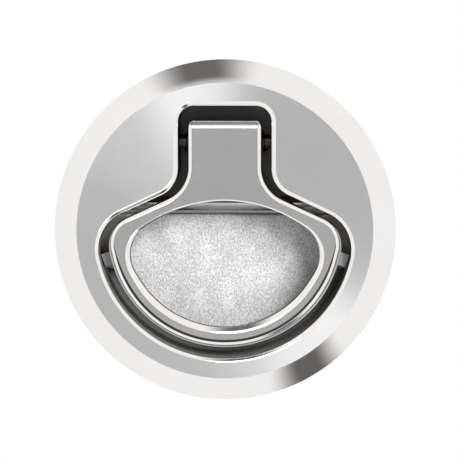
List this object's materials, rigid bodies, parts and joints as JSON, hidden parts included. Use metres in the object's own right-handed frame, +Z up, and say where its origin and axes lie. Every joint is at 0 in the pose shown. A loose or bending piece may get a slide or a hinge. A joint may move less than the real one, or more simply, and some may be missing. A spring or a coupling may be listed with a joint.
{
  "type": "slam latch",
  "caption": "Round flush slam latch: a ring pull folds out of a recessed flange and draws back a sprung bevelled bolt behind the panel.",
  "frame": {"origin": "centre of the gasket's seat on the panel's front, on the axis of the panel hole", "axes": "+X to the right, +Z up towards the hinge and the bolt's nose, -Y out of the panel at the hand; the barrel goes into the panel along +Y"},
  "size_m": [0.0604, 0.0377, 0.0604],
  "materials": {
    "chrome_casting": "turned face, polished rim and blasted floor",
    "satin_casting": "satin plated",
    "steel": "drawn",
    "spring_steel": "drawn wire",
    "black_nylon": "moulded",
    "bolt_nylon": "moulded",
    "gasket_rubber": "matt",
    "bumper_rubber": "matt"
  },
  "bodies": {
    "root": {"housing": "chrome_casting", "hinge_pin": "steel", "pin_clip_left": "spring_steel", "pin_clip_right": "spring_steel", "handle_spring_left": "spring_steel", "handle_spring_right": "spring_steel", "bolt_spring": "spring_steel", "bolt_case": "black_nylon", "rear_cover": "steel", "cover_screw_1": "steel", "cover_screw_2": "steel", "cover_screw_3": "steel", "cover_screw_4": "steel", "mounting_nut": "black_nylon", "flange_gasket": "gasket_rubber", "rest_bumper_left": "bumper_rubber", "rest_bumper_right": "bumper_rubber"},
    "handle": {"handle": "satin_casting"},
    "draw_slide": {"draw_slide": "steel"},
    "slam_bolt": {"slam_bolt": "bolt_nylon"}
  },
  "joints": [
    {"name": "handle_pull", "type": "hinge", "parent": "root", "child": "handle", "pos_m": [0, 0.0018, 0.0155], "axis": [-1, 0, 0], "range_deg": [0, 50], "stiffness_Nm_per_rad": 0.03, "springref_deg": -28.65, "deforming": ["handle_spring_left", "handle_spring_right"]},
    {"name": "draw_travel", "type": "slide", "parent": "root", "child": "draw_slide", "axis": [0, 0, -1], "range_m": [0, 0.00995]},
    {"name": "bolt_slam", "type": "slide", "parent": "draw_slide", "child": "slam_bolt", "axis": [0, 0, -1], "range_m": [0, 0.005], "stiffness_N_per_m": 400, "springref_m": -0.01, "deforming": ["bolt_spring"]}
  ],
  "couplings": [
    {"joint": "draw_travel", "follows": "handle_pull", "m_per_rad": 0.0114}
  ]
}
